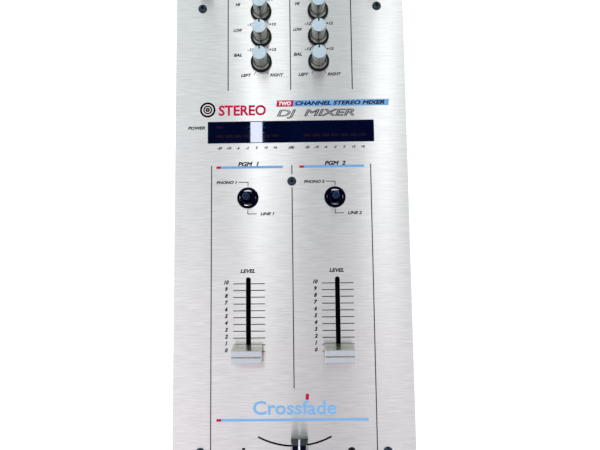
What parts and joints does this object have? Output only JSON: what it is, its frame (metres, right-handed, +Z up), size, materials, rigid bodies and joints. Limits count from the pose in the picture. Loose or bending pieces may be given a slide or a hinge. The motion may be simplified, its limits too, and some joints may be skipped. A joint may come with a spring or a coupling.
{
  "type": "dj mixer",
  "caption": "Slim tabletop mixer for two record players: tone knobs, level meter, two level faders, a crossfader, lever switches and rear phono jacks.",
  "frame": {"origin": "on the ground under the middle of the case", "axes": "+X to the user's right, +Y away from the user towards the rear jacks, +Z up"},
  "size_m": [0.16, 0.389, 0.0953],
  "materials": {
    "brushed_aluminium": "fine brushed across the width, clear anodised",
    "black_steel": "fine-textured black powder coat",
    "smoked_acrylic": "glossy, near-black navy",
    "silver_plastic": "satin silver paint on moulded plastic",
    "black_plastic": "moulded, low sheen",
    "black_rubber": "moulded rubber",
    "black_screw": "black zinc",
    "circuit_board": "green solder mask",
    "plated_steel": "bright plating",
    "grey_cable": "soft vinyl"
  },
  "bodies": {
    "case": {"base_tray": "black_steel", "centre_pillar": "plated_steel", "crossfader": "plated_steel", "dc_inlet": "black_plastic", "faceplate": "brushed_aluminium", "foot_front_left": "black_rubber", "foot_front_right": "black_rubber", "foot_rear_left": "black_rubber", "foot_rear_right": "black_rubber", "front_panel": "black_steel", "front_pot_board": "circuit_board", "ground_terminal": "plated_steel", "input_jacks_1": "black_plastic", "input_jacks_2": "black_plastic", "input_switch_1": "black_plastic", "input_switch_2": "black_plastic", "left_side_panel": "black_steel", "level_fader_1": "plated_steel", "level_fader_2": "plated_steel", "main_board": "circuit_board", "meter_board": "circuit_board", "meter_window": "smoked_acrylic", "mic_jack": "black_plastic", "output_jacks": "black_plastic", "phones_jack": "black_plastic", "pot_board": "circuit_board", "power_board": "circuit_board", "power_switch": "black_plastic", "rear_panel": "black_steel", "ribbon_cable": "grey_cable", "right_side_panel": "black_steel", "screw_centre": "black_screw", "screw_front_left": "black_screw", "screw_front_right": "black_screw", "screw_rear_left": "black_screw", "screw_rear_right": "black_screw", "switch_bezel_1": "black_plastic", "switch_bezel_2": "black_plastic"},
    "gain_1": {"gain_knob_1": "silver_plastic"},
    "high_1": {"high_knob_1": "silver_plastic"},
    "low_1": {"low_knob_1": "silver_plastic"},
    "balance_1": {"balance_knob_1": "silver_plastic"},
    "gain_2": {"gain_knob_2": "silver_plastic"},
    "high_2": {"high_knob_2": "silver_plastic"},
    "low_2": {"low_knob_2": "silver_plastic"},
    "balance_2": {"balance_knob_2": "silver_plastic"},
    "mic_level": {"mic_level_knob": "silver_plastic"},
    "master_level": {"master_level_knob": "silver_plastic"},
    "phones_level": {"phones_level_knob": "silver_plastic"},
    "cue_mix": {"cue_mix_knob": "silver_plastic"},
    "level_1": {"level_fader_stem_1": "plated_steel", "level_fader_cap_1": "silver_plastic"},
    "level_2": {"level_fader_stem_2": "plated_steel", "level_fader_cap_2": "silver_plastic"},
    "crossfade": {"crossfader_stem": "plated_steel", "crossfader_cap": "black_plastic"},
    "lever_1": {"switch_lever_1": "black_plastic"},
    "lever_2": {"switch_lever_2": "black_plastic"},
    "rocker": {"power_rocker": "black_plastic"}
  },
  "joints": [
    {"name": "gain_turn_1", "type": "hinge", "parent": "case", "child": "gain_1", "pos_m": [-0.0201, 0.1665, 0.08], "axis": [0, 0, 1], "range_deg": [-150, 150]},
    {"name": "high_turn_1", "type": "hinge", "parent": "case", "child": "high_1", "pos_m": [-0.0201, 0.148, 0.08], "axis": [0, 0, 1], "range_deg": [-150, 150]},
    {"name": "low_turn_1", "type": "hinge", "parent": "case", "child": "low_1", "pos_m": [-0.0201, 0.1295, 0.08], "axis": [0, 0, 1], "range_deg": [-150, 150]},
    {"name": "balance_turn_1", "type": "hinge", "parent": "case", "child": "balance_1", "pos_m": [-0.0201, 0.111, 0.08], "axis": [0, 0, 1], "range_deg": [-150, 150]},
    {"name": "gain_turn_2", "type": "hinge", "parent": "case", "child": "gain_2", "pos_m": [0.0201, 0.1665, 0.08], "axis": [0, 0, 1], "range_deg": [-150, 150]},
    {"name": "high_turn_2", "type": "hinge", "parent": "case", "child": "high_2", "pos_m": [0.0201, 0.148, 0.08], "axis": [0, 0, 1], "range_deg": [-150, 150]},
    {"name": "low_turn_2", "type": "hinge", "parent": "case", "child": "low_2", "pos_m": [0.0201, 0.1295, 0.08], "axis": [0, 0, 1], "range_deg": [-150, 150]},
    {"name": "balance_turn_2", "type": "hinge", "parent": "case", "child": "balance_2", "pos_m": [0.0201, 0.111, 0.08], "axis": [0, 0, 1], "range_deg": [-150, 150]},
    {"name": "mic_level_turn", "type": "hinge", "parent": "case", "child": "mic_level", "pos_m": [-0.0615, 0.169, 0.08], "axis": [0, 0, 1], "range_deg": [-150, 150]},
    {"name": "master_level_turn", "type": "hinge", "parent": "case", "child": "master_level", "pos_m": [0.0615, 0.169, 0.08], "axis": [0, 0, 1], "range_deg": [-150, 150]},
    {"name": "phones_level_turn", "type": "hinge", "parent": "case", "child": "phones_level", "pos_m": [0.036, -0.185, 0.044], "axis": [0, -1, 0], "range_deg": [-150, 150]},
    {"name": "cue_mix_turn", "type": "hinge", "parent": "case", "child": "cue_mix", "pos_m": [0.012, -0.185, 0.044], "axis": [0, -1, 0], "range_deg": [-150, 150]},
    {"name": "level_slide_1", "type": "slide", "parent": "case", "child": "level_1", "axis": [0, 1, 0], "range_m": [0, 0.045]},
    {"name": "level_slide_2", "type": "slide", "parent": "case", "child": "level_2", "axis": [0, 1, 0], "range_m": [0, 0.045]},
    {"name": "crossfade_slide", "type": "slide", "parent": "case", "child": "crossfade", "axis": [1, 0, 0], "range_m": [-0.0258, 0.0192]},
    {"name": "input_select_1", "type": "hinge", "parent": "case", "child": "lever_1", "pos_m": [-0.0298, 0.01525, 0.075], "axis": [1, 0, 0], "range_deg": [-12, 12]},
    {"name": "input_select_2", "type": "hinge", "parent": "case", "child": "lever_2", "pos_m": [0.0298, 0.01525, 0.075], "axis": [1, 0, 0], "range_deg": [-12, 12]},
    {"name": "power_rock", "type": "hinge", "parent": "case", "child": "rocker", "pos_m": [0.061, 0.185, 0.054], "axis": [0, 0, 1], "range_deg": [0, 14]}
  ]
}
